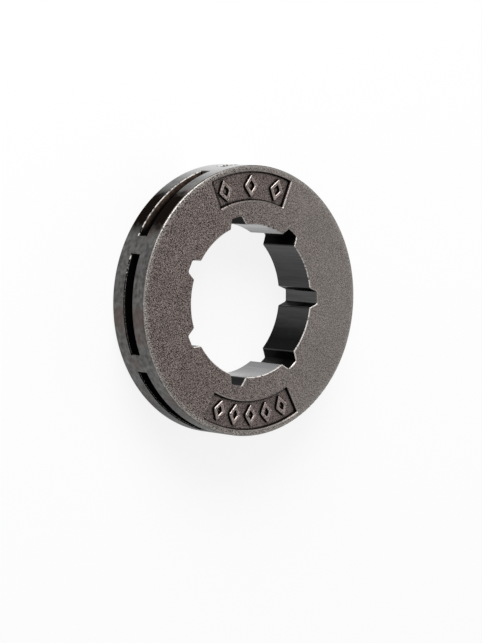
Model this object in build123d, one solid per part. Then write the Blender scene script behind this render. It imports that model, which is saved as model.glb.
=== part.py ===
from build123d import *

import os
from math import asin, cos, radians, sin, sqrt, tan

# Rim sprocket of a chainsaw: a thick steel ring that floats on the splined hub of the clutch drum.
# The ring is one casting. Its ground rim carries the chain's straps, the pockets sunk in the rim take
# the drive links, and the splined bore takes the drive from the hub. Frame: +Z is the bore's axis, the
# plain rear face lies on z = 0, the front face with its two marking panels looks up, and one spline
# groove points along +X. Sizes are in millimetres and degrees.

# The ring
rim_diameter = 37.2  # over the ground rim, on which the chain's straps ride
ring_width = 7.0  # from the rear face to the front face
rim_edge_radius = 0.3  # tumbled edge between the rim and each face

# The splined bore
tooth_count = 7  # spline grooves in the bore, and drive-link pockets in the rim
bore_diameter = 21.0  # across the lands between the grooves
groove_depth = 1.25  # from the lands to the floor of a groove
groove_mouth = 2.75  # width of a groove where it leaves the lands
groove_floor = 1.7  # width of a groove along its flat floor
groove_floor_radius = 0.3  # in the two corners of a groove's floor
groove_mouth_radius = 0.2  # on the two corners of a groove's mouth
bore_edge_chamfer = 0.12  # between the bore and each face

# The drive-link pockets
drive_link_gauge = 1.6  # thickness of the chain's drive links
drive_link_play = 0.25  # room for a drive link between a pocket's side walls
hub_wall = 2.3  # of the steel left between the bore's lands and the pockets' floors
tooth_width = 2.65  # of the steel left between two pockets, along the rim
pocket_flank_angle = 26.0  # of each end wall, from the pocket's centre line
pocket_floor_radius = 1.5  # between the floor and the end walls
pocket_edge_chamfer = 0.1  # on the edge round a pocket's mouth

# The marking panels sunk in the front face
panel_depth = 0.5  # from the front face to a panel's floor
panel_rim_margin = 0.8  # from the rim to a panel's outer edge
panel_bore_margin = 2.0  # from the floors of the spline grooves to a panel's inner edge
short_panel_span = 46.6  # angle that the shorter panel takes up
short_panel_direction = 90.0  # of its middle, from +X
long_panel_span = 55.6  # angle that the longer panel takes up
long_panel_direction = 270.0  # of its middle, from +X
panel_draft = 12.0  # lean of a panel's walls
panel_corner_radius = 0.15  # between a panel's ends and its curved edges
panel_edge_chamfer = 0.12  # on the edge round a panel

# Worked out from the sizes above
rim_radius = rim_diameter / 2
bore_radius = bore_diameter / 2
groove_floor_x = bore_radius + groove_depth
pocket_width = drive_link_gauge + drive_link_play
tooth_pitch = 360 / tooth_count
overrun = 1.0  # by which a cutting shape runs past the surface that it opens


def trapezium(inner_x, inner_half, outer_x, outer_half):
    """A face across the X axis, of the given half widths at its inner and outer ends."""
    corners = [
        (inner_x, -inner_half),
        (outer_x, -outer_half),
        (outer_x, outer_half),
        (inner_x, inner_half),
    ]
    return make_face(Polyline(*corners, close=True))


def groove_outline():
    """One spline groove on the +X side, which narrows from its mouth to its floor."""
    mouth_half = groove_mouth / 2
    floor_half = groove_floor / 2
    mouth_x = sqrt(bore_radius**2 - mouth_half**2)
    lean = (mouth_half - floor_half) / (groove_floor_x - mouth_x)
    inner_half = mouth_half + lean * overrun
    return trapezium(mouth_x - overrun, inner_half, groove_floor_x, floor_half)


def bore_space():
    """The splined bore, run past both faces of the ring."""
    outline = Circle(bore_radius)
    outline += [Rot(0, 0, i * tooth_pitch) * groove_outline() for i in range(tooth_count)]
    corners = 2 * tooth_count
    floor_corners = outline.vertices().sort_by_distance((0, 0))[-corners:]
    outline = fillet(floor_corners, groove_floor_radius)
    mouth_corners = outline.vertices().sort_by_distance((0, 0))[:corners]
    outline = fillet(mouth_corners, groove_mouth_radius)
    return extrude(Pos(0, 0, -overrun) * outline, ring_width + 2 * overrun)


def pocket_space():
    """One drive-link pocket on the +X side, run past the rim."""
    mouth_half_angle = radians(tooth_pitch / 2) - asin(tooth_width / 2 / rim_radius)
    mouth_x = rim_radius * cos(mouth_half_angle)
    mouth_half = rim_radius * sin(mouth_half_angle)
    floor_x = bore_radius + hub_wall
    outer_x = rim_radius + overrun
    lean = tan(radians(pocket_flank_angle))
    floor_half = mouth_half - lean * (mouth_x - floor_x)
    outer_half = mouth_half + lean * (outer_x - mouth_x)
    outline = trapezium(floor_x, floor_half, outer_x, outer_half)
    outline = fillet(outline.vertices().group_by(Axis.X)[0], pocket_floor_radius)
    return extrude(Pos(0, 0, ring_width / 2) * outline, pocket_width / 2, both=True)


def panel_space(span, direction):
    """One marking panel that takes up the given angle, with its middle in the given direction."""
    outer_radius = rim_radius - panel_rim_margin
    inner_radius = groove_floor_x + panel_bore_margin
    lean = tan(radians(span / 2))
    sector = trapezium(overrun, lean * overrun, rim_radius, lean * rim_radius)
    outline = (Circle(outer_radius) - Circle(inner_radius)) & sector
    outline = fillet(outline.vertices(), panel_corner_radius)
    space = extrude(outline, -panel_depth, taper=panel_draft)
    return Pos(0, 0, ring_width) * Rot(0, 0, direction) * space


def sunk(body, spaces, edge_chamfer):
    """The body with the spaces cut out of it and the edges of their mouths broken."""
    result = body - spaces
    return chamfer(new_edges(body, *spaces, combined=result), edge_chamfer)


# The turned disc, with the panels, the bore and the pockets sunk in it
ring = extrude(Circle(rim_radius), ring_width)
ring = fillet(ring.edges().filter_by(GeomType.CIRCLE), rim_edge_radius)
ring -= panel_space(short_panel_span, short_panel_direction)
ring -= panel_space(long_panel_span, long_panel_direction)
ring = chamfer(ring.faces().sort_by(Axis.Z)[-1].inner_wires().edges(), panel_edge_chamfer)
ring = sunk(ring, [bore_space()], bore_edge_chamfer)
# The pockets stand midway between the spline grooves
pockets = [Rot(0, 0, (i + 0.5) * tooth_pitch) * pocket_space() for i in range(tooth_count)]
ring = sunk(ring, pockets, pocket_edge_chamfer)

os.makedirs("parts", exist_ok=True)
export_step(ring, "parts/rim_sprocket.step")
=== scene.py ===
from math import cos, hypot, pi, radians, sin

import bmesh
import bpy
from mathutils import Matrix, Quaternion, Vector


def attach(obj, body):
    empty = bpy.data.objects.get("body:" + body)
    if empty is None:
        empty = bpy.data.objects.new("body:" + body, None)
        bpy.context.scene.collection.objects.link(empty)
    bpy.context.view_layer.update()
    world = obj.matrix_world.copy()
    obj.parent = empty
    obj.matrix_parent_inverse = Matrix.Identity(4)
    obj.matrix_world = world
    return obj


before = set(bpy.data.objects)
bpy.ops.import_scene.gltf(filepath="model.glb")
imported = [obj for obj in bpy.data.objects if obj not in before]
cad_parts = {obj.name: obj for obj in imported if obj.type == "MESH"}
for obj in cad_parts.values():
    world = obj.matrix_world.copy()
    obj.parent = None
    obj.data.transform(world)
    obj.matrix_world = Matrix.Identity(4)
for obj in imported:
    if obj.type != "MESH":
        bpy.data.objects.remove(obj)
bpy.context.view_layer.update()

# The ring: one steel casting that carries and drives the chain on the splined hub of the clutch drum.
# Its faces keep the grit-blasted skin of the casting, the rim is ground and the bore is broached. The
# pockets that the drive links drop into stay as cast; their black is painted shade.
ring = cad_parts["rim_sprocket"]
mm = 0.001
pocket_middle_z = 3.5 * mm
soft = "SMOOTHSTEP"


def linear(hex_colour):
    """An sRGB hex colour as linear RGBA."""
    channels = [int(hex_colour[i : i + 2], 16) / 255 for i in (0, 2, 4)]
    return [c / 12.92 if c <= 0.04045 else ((c + 0.055) / 1.055) ** 2.4 for c in channels] + [1.0]


def add(tree, kind, inputs, **settings):
    """Adds a node with its settings. An input is a value, a socket, or a node for its output."""
    node = tree.nodes.new("ShaderNode" + kind)
    for name, value in settings.items():
        setattr(node, name, value)
    for name, value in inputs.items():
        if isinstance(value, bpy.types.Node):
            value = next(socket for socket in value.outputs if socket.enabled)
        if isinstance(value, bpy.types.NodeSocket):
            tree.links.new(value, node.inputs[name])
        else:
            node.inputs[name].default_value = value
    return node


def ramp(tree, value, start, end, low=0.0, high=1.0, kind="LINEAR"):
    """Goes from low to high while the value goes from start to end."""
    limits = {"Value": value, "From Min": start, "From Max": end, "To Min": low, "To Max": high}
    return add(tree, "MapRange", limits, interpolation_type=kind)


def combine(tree, operation, *values, **settings):
    """Puts the values through one operation of arithmetic, from the first to the last."""
    result = values[0]
    for value in values[1:]:
        result = add(tree, "Math", {0: result, 1: value}, operation=operation, **settings)
    return result


def mix_colours(tree, share, first, second):
    """Goes from the first colour to the second."""
    return add(tree, "Mix", {0: share, 6: first, 7: second}, data_type="RGBA")


def mix_values(tree, share, first, second):
    """Goes from the first number to the second."""
    return add(tree, "Mix", {0: share, 2: first, 3: second}, data_type="FLOAT")


def level_axis(degrees):
    """A level direction, by its angle from +X."""
    return (cos(radians(degrees)), sin(radians(degrees)), 0)


# Cast steel: a dull brown-grey with a fine sparkle where the grit has pitted it, smooth neutral grey
# where it is ground, darker where it is broached, and bright along the edges that tumbling has rubbed.
# Some of its light and shade is painted into the colour, as marked where it lies.
steel = bpy.data.materials.new("blasted_and_ground_cast_steel")
steel.use_nodes = True
tree = steel.node_tree
tree.nodes.clear()
place = add(tree, "TexCoord", {}).outputs["Object"]
x, y, z = add(tree, "SeparateXYZ", {"Vector": place}).outputs
across = add(tree, "VectorMath", {0: place, 1: (1, 1, 0)}, operation="MULTIPLY")
outward = add(tree, "VectorMath", {0: across}, operation="NORMALIZE")
radius = add(tree, "VectorMath", {0: across}, operation="LENGTH")
normal = add(tree, "NewGeometry", {}).outputs["Normal"]
facing_x, facing_y, facing_z = add(tree, "SeparateXYZ", {"Vector": normal}).outputs
slope = add(tree, "Math", {0: facing_z}, operation="ABSOLUTE")
from_middle = combine(tree, "SUBTRACT", z, pocket_middle_z)
from_middle = add(tree, "Math", {0: from_middle}, operation="ABSOLUTE")

# Where each finish lies, told by radius, height and slope
flat = ramp(tree, slope, 0.86, 0.97, kind=soft)
upright = ramp(tree, slope, 0.66, 0.5, kind=soft)
past_bore = ramp(tree, radius, 12.0 * mm, 12.2 * mm)
past_panel = ramp(tree, radius, 17.95 * mm, 18.1 * mm)
within_rim = ramp(tree, radius, 18.46 * mm, 18.4 * mm)
between_walls = ramp(tree, from_middle, 1.3 * mm, 1.2 * mm)
pocket = combine(tree, "MULTIPLY", within_rim, between_walls, past_bore)
rim = combine(tree, "MULTIPLY", past_panel, upright)
before_bore = combine(tree, "SUBTRACT", 1.0, past_bore)
bore = combine(tree, "MULTIPLY", before_bore, upright)
past_lands = ramp(tree, radius, 10.56 * mm, 10.7 * mm)
groove = combine(tree, "MULTIPLY", past_lands, bore)
past_flanks = ramp(tree, radius, 11.64 * mm, 11.72 * mm)
groove_floor = combine(tree, "MULTIPLY", past_flanks, bore)
below_face = ramp(tree, z, 6.97 * mm, 6.93 * mm)
above_floor = ramp(tree, z, 6.2 * mm, 6.4 * mm)
before_rim = combine(tree, "SUBTRACT", 1.0, past_panel)
panel = combine(tree, "MULTIPLY", below_face, above_floor, past_bore, before_rim)
mark_height = ramp(tree, z, 6.7 * mm, 6.85 * mm)
crown = combine(tree, "MULTIPLY", mark_height, panel)
foot = combine(tree, "SUBTRACT", panel, crown)
shaded_wall = combine(tree, "MULTIPLY", foot, upright)
leaning = ramp(tree, slope, 0.52, 0.66, kind=soft)
not_flat = ramp(tree, slope, 0.96, 0.88, kind=soft)
edge = combine(tree, "MULTIPLY", not_flat, leaning)
bore_edge = combine(tree, "SUBTRACT", edge, past_flanks, use_clamp=True)
mouth = combine(tree, "MULTIPLY", edge, between_walls, past_panel)

# Grit pits 0.13 mm across, chips 0.7 mm and a mottle 3.5 mm across, and tool marks along rim and bore.
# The tool marks are drawn 0.4 mm apart, coarser than real ones, to show at this distance
turned_place = add(tree, "Mapping", {"Vector": place, "Rotation": (0.6, 0.4, 0.9)})
grain = add(tree, "TexNoise", {"Vector": turned_place, "Scale": 1 / (0.13 * mm), "Detail": 0.0})
chips = add(tree, "TexNoise", {"Vector": turned_place, "Scale": 1 / (0.7 * mm), "Detail": 3.0})
mottle = add(tree, "TexNoise", {"Vector": turned_place, "Scale": 1 / (3.5 * mm), "Detail": 3.0})
along_rim = add(tree, "VectorMath", {0: place, 1: (0.15, 0.15, 1.0)}, operation="MULTIPLY")
grinding = add(tree, "TexNoise", {"Vector": along_rim, "Scale": 1 / (0.4 * mm), "Detail": 4.0})
along_bore = add(tree, "VectorMath", {0: place, 1: (1.0, 1.0, 0.06)}, operation="MULTIPLY")
broaching = add(tree, "TexNoise", {"Vector": along_bore, "Scale": 1 / (0.4 * mm), "Detail": 4.0})

# Blasted faces: browner on the -X side, greyer and more even on the +X side, where the lighter tone is
# painted light, worn pale grey at the rim, a little darker in the panels, and brightest on top of the
# marks, partly rubbed and partly a painted highlight
# Painted light: the +X side is lighter and its grit shows less, as if lit from that side
painted_light_side = ramp(tree, x, -14.0 * mm, 17.0 * mm, kind=soft)
greyer = combine(tree, "SUBTRACT", painted_light_side, panel, use_clamp=True)
colour = mix_colours(tree, greyer, linear("645b58"), linear("726c69"))
worn = ramp(tree, radius, 17.75 * mm, 18.5 * mm)
colour = mix_colours(tree, worn, colour, linear("827e7a"))
contrast = ramp(tree, painted_light_side, 0.0, 1.0, 1.4, 0.55)
lightest = combine(tree, "ADD", 1.0, contrast)
darkest = combine(tree, "SUBTRACT", 1.0, contrast)
speckle = ramp(tree, grain, 0.2, 0.8, darkest, lightest)
speckle = combine(tree, "MAXIMUM", speckle, 0.1)
clouding = ramp(tree, mottle, 0.3, 0.7, 0.95, 1.05)
hollow = ramp(tree, panel, 0.0, 1.0, 1.0, 0.96)
# The tops of the marks are lighter, partly rubbed wear and partly a painted highlight
crown_wear_and_highlight = ramp(tree, crown, 0.0, 1.0, 1.0, 1.65)
speckle = combine(tree, "MULTIPLY", speckle, clouding, hollow, crown_wear_and_highlight)
colour = add(tree, "VectorMath", {0: colour, "Scale": speckle}, operation="SCALE")
# Painted shade: the walls of the panels and of the marks are dark brown-black
colour = mix_colours(tree, shaded_wall, colour, linear("262120"))

# Ground rim: neutral grey with faint rings and brown stains, the largest towards -X, and a painted
# reflection that makes it brightest towards +Y
ground = mix_values(tree, 0.7, grinding, chips)
ground = ramp(tree, ground, 0.36, 0.64)
ground = mix_colours(tree, ground, linear("403f3e"), linear("696867"))
stain = ramp(tree, mottle, 0.52, 0.66, high=0.5, kind=soft)
large_stain = add(tree, "VectorMath", {0: outward, 1: level_axis(185.5)}, operation="DOT_PRODUCT")
large_stain = ramp(tree, large_stain, 0.995, 0.9995, high=0.6, kind=soft)
stain = combine(tree, "MAXIMUM", stain, large_stain)
ground = mix_colours(tree, stain, ground, linear("544742"))
# Painted reflection: the rim is pale where it faces +Y
painted_reflection_top = ramp(tree, facing_y, 0.88, 1.0, kind=soft)
ground = mix_colours(tree, painted_reflection_top, ground, linear("b4b3b4"))
colour = mix_colours(tree, rim, colour, ground)

# Broached bore: fine lines along the axis, bright steel with a painted dark reflection on the side
# towards +X
# Painted dark reflection on the bore surfaces that face -X
painted_dark_bore_side = ramp(tree, facing_x, -0.4, -0.7, kind=soft)
broached = mix_colours(tree, painted_dark_bore_side, linear("78787a"), linear("3b3b3b"))
lines = ramp(tree, broaching, 0.3, 0.7, 0.8, 1.2)
cleaner = ramp(tree, groove_floor, 0.0, 1.0, 1.0, 1.6)
lines = combine(tree, "MULTIPLY", lines, cleaner)
broached = add(tree, "VectorMath", {0: broached, "Scale": lines}, operation="SCALE")
colour = mix_colours(tree, bore, colour, broached)

# Painted dark reflection and shade: matt brown-black on the smooth surfaces that face one way, where it
# stands in for a dark reflection, and in the grooves, where it stands in for their shade. On the low
# side of the rim, towards -Y, the metal is only dulled, which darkens its reflection
# Painted dark reflection on rim and bore surfaces that face 136.7 degrees from +X
dark_reflection_axis = add(tree, "VectorMath", {0: normal, 1: level_axis(136.7)}, operation="DOT_PRODUCT")
ragged = ramp(tree, chips, 0.3, 0.7, -0.005, 0.005)
dark_reflection_axis = combine(tree, "ADD", dark_reflection_axis, ragged)
rim_dark_reflection = ramp(tree, dark_reflection_axis, 0.97, 0.9925, kind=soft)
rim_dark_reflection = combine(tree, "MULTIPLY", rim_dark_reflection, rim)
# The low side of the rim is dulled to darken its reflection
low_dimmed_reflection = ramp(tree, facing_y, -0.45, -0.8, high=0.62, kind=soft)
low_dimmed_reflection = combine(tree, "MULTIPLY", low_dimmed_reflection, rim)
bore_dark_reflection = ramp(tree, dark_reflection_axis, 0.86, 1.0, high=0.9, kind=soft)
far_side = ramp(tree, x, 6.4 * mm, 7.4 * mm, kind=soft)
bore_dark_reflection = combine(tree, "MULTIPLY", bore_dark_reflection, bore, far_side)
# Painted shade in the grooves, darker towards +X and towards the front
off_centre = add(tree, "Math", {0: y}, operation="ABSOLUTE")
unshaded_groove_floor = ramp(tree, off_centre, 2.5 * mm, 1.5 * mm)
unshaded_groove_floor = combine(tree, "MULTIPLY", unshaded_groove_floor, groove_floor)
groove_shade = combine(tree, "SUBTRACT", groove, unshaded_groove_floor, use_clamp=True)
groove_side = ramp(tree, x, -3.0 * mm, 3.0 * mm, low=0.6, kind=soft)
lighter_towards_back = ramp(tree, z, 0.5 * mm, 4.5 * mm, low=0.8)
groove_shade = combine(tree, "MULTIPLY", groove_shade, groove_side, lighter_towards_back)
dark_reflection_and_shade = combine(tree, "MAXIMUM", rim_dark_reflection, bore_dark_reflection, groove_shade)
painted_dark = mix_colours(tree, bore, linear("120e0c"), linear("0c0c0c"))
colour = mix_colours(tree, dark_reflection_and_shade, colour, painted_dark)

# Pockets: the cast skin is painted black as the shade inside them, and painted light shows it brown near
# the mouth of the one lit pocket
# Painted shade: black inside the pockets; painted light: brown where one pocket is lit
pocket_shade_black = linear("080707")
lit_pocket_axis = add(tree, "VectorMath", {0: outward, 1: level_axis(123.0)}, operation="DOT_PRODUCT")
lit_pocket = ramp(tree, lit_pocket_axis, 0.9, 0.97, kind=soft)
lit_depth = ramp(tree, radius, 17.6 * mm, 18.5 * mm, kind=soft)
lit_patches = ramp(tree, chips, 0.35, 0.65, low=0.3)
painted_pocket_light = combine(tree, "MULTIPLY", lit_pocket, lit_depth, lit_patches)
pocket_light_and_shade = mix_colours(tree, painted_pocket_light, pocket_shade_black, linear("5e4d42"))
colour = mix_colours(tree, pocket, colour, pocket_light_and_shade)

# Rubbed edges: pale steel, matt round the bore and the pockets, in flecks where the tumbling has missed
# it. They are nearly whole round the bore. The matt near-white round the bore and the lit pocket is
# partly wear and partly a painted highlight. Most pockets have none, and their edges are painted black
# as shade
# Painted shade: black pocket mouths, except at the lit pocket
shaded_mouth = combine(tree, "SUBTRACT", mouth, lit_pocket, use_clamp=True)
colour = mix_colours(tree, shaded_mouth, colour, pocket_shade_black)
wear = add(tree, "Math", {0: bore_edge, 1: 0.06, 2: broaching}, operation="MULTIPLY_ADD")
unlit_mouths = ramp(tree, lit_pocket_axis, 0.9, 0.5, high=-0.3)
wear = add(tree, "Math", {0: shaded_mouth, 1: unlit_mouths, 2: wear}, operation="MULTIPLY_ADD")
flecks = ramp(tree, wear, 0.4, 0.56, kind=soft)
rubbed = combine(tree, "MULTIPLY", edge, flecks)
blunt = combine(tree, "MAXIMUM", bore_edge, mouth)
# Matt near-white edges round the bore and pockets: partly wear, partly a painted highlight
edge_wear_and_highlight = mix_colours(tree, blunt, linear("847f7b"), linear("d0cbc7"))
colour = mix_colours(tree, rubbed, colour, edge_wear_and_highlight)

# Painted shade in the corners, in a narrow line, and a painted shadow up to 0.6 mm wide in one end of
# the shorter panel
# Painted shade from occlusion in the corners
corners = add(tree, "AmbientOcclusion", {"Distance": 0.45 * mm}, samples=16)
painted_shade = ramp(tree, corners.outputs["AO"], 0.7, 0.84, low=0.06)
short_panel_span = 46.6
end_axis = level_axis(short_panel_span / 2)  # square to that end
# Painted shadow along one end of the shorter panel
from_end = add(tree, "VectorMath", {0: place, 1: end_axis}, operation="DOT_PRODUCT")
end_shadow_strip = add(tree, "Math", {0: from_end, 1: 0.3 * mm, 2: 0.3 * mm}, operation="COMPARE")
short_side = combine(tree, "GREATER_THAN", y, 0.0)
end_shadow_strip = combine(tree, "MULTIPLY", end_shadow_strip, foot, short_side)
painted_end_shadow = ramp(tree, end_shadow_strip, 0.0, 1.0, 1.0, 0.25)
painted_shade = combine(tree, "MULTIPLY", painted_shade, painted_end_shadow)
colour = add(tree, "VectorMath", {0: colour, "Scale": painted_shade}, operation="SCALE")

# Bare metal shines where there is no painted dark reflection, painted shade, pocket or matt edge, less
# on the dimmed low side of the rim, and half through the blasted oxide
oxide = combine(tree, "MULTIPLY", flat, 0.5)
covered = combine(tree, "MAXIMUM", dark_reflection_and_shade, low_dimmed_reflection, pocket, blunt, oxide)
bare = combine(tree, "SUBTRACT", 1.0, covered)

# Dull where it is blasted or cast, smoother where a tool has cut it
roughness = ramp(tree, grain, 0.0, 1.0, 0.62, 0.5)
for zone, dullness in ((rim, 0.24), (bore, 0.22), (rubbed, 0.34), (crown, 0.32), (pocket, 0.75)):
    roughness = mix_values(tree, zone, roughness, dullness)

# The pits and tool marks, up to 0.05 mm deep
relief = mix_values(tree, rim, grain, grinding)
relief = mix_values(tree, bore, relief, broaching)
depth = mix_values(tree, flat, 0.2, 0.8)
bump = add(tree, "Bump", {"Height": relief, "Strength": depth, "Distance": 0.05 * mm})
finish = {"Base Color": colour, "Metallic": bare, "Roughness": roughness, "Normal": bump}
shader = add(tree, "BsdfPrincipled", {**finish, "Specular IOR Level": 0.0})
add(tree, "OutputMaterial", {"Surface": shader})
ring.data.materials.clear()
ring.data.materials.append(steel)

# The raised marks: plain figures cast with the ring, standing on the floors of the two panels. The
# shorter panel holds three open lozenges and the longer one five narrower ones.
scene = bpy.context.scene
panel_floor_z = 6.5 * mm
mark_radius = 15.75 * mm
mark_top = 0.43 * mm
mark_root = 0.06 * mm
mark_stroke = 0.5 * mm
mark_edge = 0.18 * mm
short_panel_step = 16.5  # degrees from one mark to the next
long_panel_step = 10.2


def open_lozenge(marks, direction, half_width, half_height):
    """Adds one open lozenge in the given direction, sunk a little into the floor of the panel."""
    seat = Matrix.Translation((0, mark_radius, panel_floor_z))
    turn = Matrix.Rotation(direction - pi / 2, 4, "Z") @ seat
    inner = 1 - mark_stroke * hypot(half_width, half_height) / (half_width * half_height)
    corners = ((half_width, 0), (0, half_height), (-half_width, 0), (0, -half_height))
    rings = []
    for share in (1, inner):
        for level in (-mark_root, mark_top):
            points = [turn @ Vector((side * share, up * share, level)) for side, up in corners]
            rings.append([marks.verts.new(point) for point in points])
    outer_foot, outer_top, inner_foot, inner_top = rings
    for i in range(4):
        j = (i + 1) % 4
        marks.faces.new((outer_foot[i], outer_foot[j], outer_top[j], outer_top[i]))
        marks.faces.new((inner_foot[j], inner_foot[i], inner_top[i], inner_top[j]))
        marks.faces.new((outer_top[i], outer_top[j], inner_top[j], inner_top[i]))
        marks.faces.new((outer_foot[j], outer_foot[i], inner_foot[i], inner_foot[j]))


marks = bmesh.new()
for step in (-1, 0, 1):
    direction = radians(90 + short_panel_step * step)
    open_lozenge(marks, direction, half_width=1.2 * mm, half_height=1.6 * mm)
for step in (-2, -1, 0, 1, 2):
    direction = radians(270 + long_panel_step * step)
    open_lozenge(marks, direction, half_width=1.05 * mm, half_height=1.55 * mm)
marks_mesh = bpy.data.meshes.new("raised_marks")
marks.to_mesh(marks_mesh)
marks.free()
raised_marks = bpy.data.objects.new("raised_marks", marks_mesh)
scene.collection.objects.link(raised_marks)
soft_edges = raised_marks.modifiers.new("soft_edges", "BEVEL")
soft_edges.width = mark_edge
soft_edges.segments = 3
marks_mesh.materials.append(steel)
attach(raised_marks, "root")

# The floor: a plain white studio table, large enough to reach past every view. The camera, and the
# metal that mirrors it, see it lifted towards white, and the ring's shadow still falls on it.
floor_half = 1.5
floor_mesh = bpy.data.meshes.new("floor")
signs = ((-1, -1), (1, -1), (1, 1), (-1, 1))
floor_corners = [(side * floor_half, up * floor_half, 0) for side, up in signs]
floor_mesh.from_pydata(floor_corners, [], [(0, 1, 2, 3)])
floor = bpy.data.objects.new("floor", floor_mesh)
scene.collection.objects.link(floor)


def seen_light(tree):
    """One for what the camera sees, straight or in a mirror, and zero for the light that it gives."""
    path = add(tree, "LightPath", {})
    kinds = ("Is Camera Ray", "Is Glossy Ray", "Is Transmission Ray")
    return combine(tree, "ADD", *[path.outputs[kind] for kind in kinds], use_clamp=True)


# White laminate: an even matt white. Its tooth is drawn 0.5 mm across, coarser than the real one
table = bpy.data.materials.new("matt_white_laminate")
table.use_nodes = True
tree = table.node_tree
tree.nodes.clear()
place = add(tree, "TexCoord", {}).outputs["Object"]
tooth = add(tree, "TexNoise", {"Vector": place, "Scale": 1 / (0.5 * mm), "Detail": 2.0})
tone = mix_colours(tree, tooth, linear("f9f9f9"), linear("fdfdfd"))
laminate = add(tree, "BsdfPrincipled", {"Base Color": tone, "Roughness": 0.9})
glow = add(tree, "Emission", {"Color": (1, 1, 1, 1), "Strength": 1.0})
lift = combine(tree, "MULTIPLY", seen_light(tree), 0.85)
surface = add(tree, "MixShader", {0: lift, 1: laminate, 2: glow})
add(tree, "OutputMaterial", {"Surface": surface})
floor_mesh.materials.append(table)

# The light: a pale room all round, a soft lamp above the picture and a weaker one to the right of it.
# The room looks white to the camera and in the metal, and lights the ring at about a third of that.
world = bpy.data.worlds.new("pale_studio")
scene.world = world
world.use_nodes = True
tree = world.node_tree
tree.nodes.clear()
strength = ramp(tree, seen_light(tree), 0.0, 1.0, 0.35, 1.0)
room = add(tree, "Background", {"Color": (1, 1, 1, 1), "Strength": strength})
add(tree, "OutputWorld", {"Surface": room})


def soft_lamp(name, direction, distance, size, power):
    """Adds a round soft box that looks at the ring from the given direction."""
    lamp_data = bpy.data.lights.new(name, "AREA")
    lamp_data.shape = "DISK"
    lamp_data.size = size
    lamp_data.energy = power
    lamp = bpy.data.objects.new(name, lamp_data)
    towards = Vector(direction).normalized()
    lamp.location = towards * distance
    lamp.rotation_mode = "QUATERNION"
    lamp.rotation_quaternion = towards.to_track_quat("Z", "Y")
    scene.collection.objects.link(lamp)


soft_lamp("key_lamp", direction=(-0.22, 0.83, 0.51), distance=0.45, size=0.35, power=2.4)
soft_lamp("fill_lamp", direction=(0.88, -0.05, 0.46), distance=0.35, size=0.15, power=0.15)

# The camera: it looks down on the ring from the -X side, rolled so that +Y is up in the picture, and
# from far enough away that the ring keeps the flat perspective of a long lens.
azimuth = radians(-96.59)
elevation = radians(50.87)
roll = radians(95.30)
aim = Vector((-1.93, -2.74, 7.0)) * mm
distance = 393.9 * mm
back = Vector((sin(azimuth) * cos(elevation), -cos(azimuth) * cos(elevation), sin(elevation)))
camera_data = bpy.data.cameras.new("camera")
camera_data.lens = 161.4
camera_data.sensor_width = 36.0
camera = bpy.data.objects.new("camera", camera_data)
camera.location = aim + back * distance
camera.rotation_mode = "QUATERNION"
camera.rotation_quaternion = (-back).to_track_quat("-Z", "Y") @ Quaternion((0, 0, 1), roll)
scene.collection.objects.link(camera)
scene.camera = camera

scene.view_settings.view_transform = "Standard"
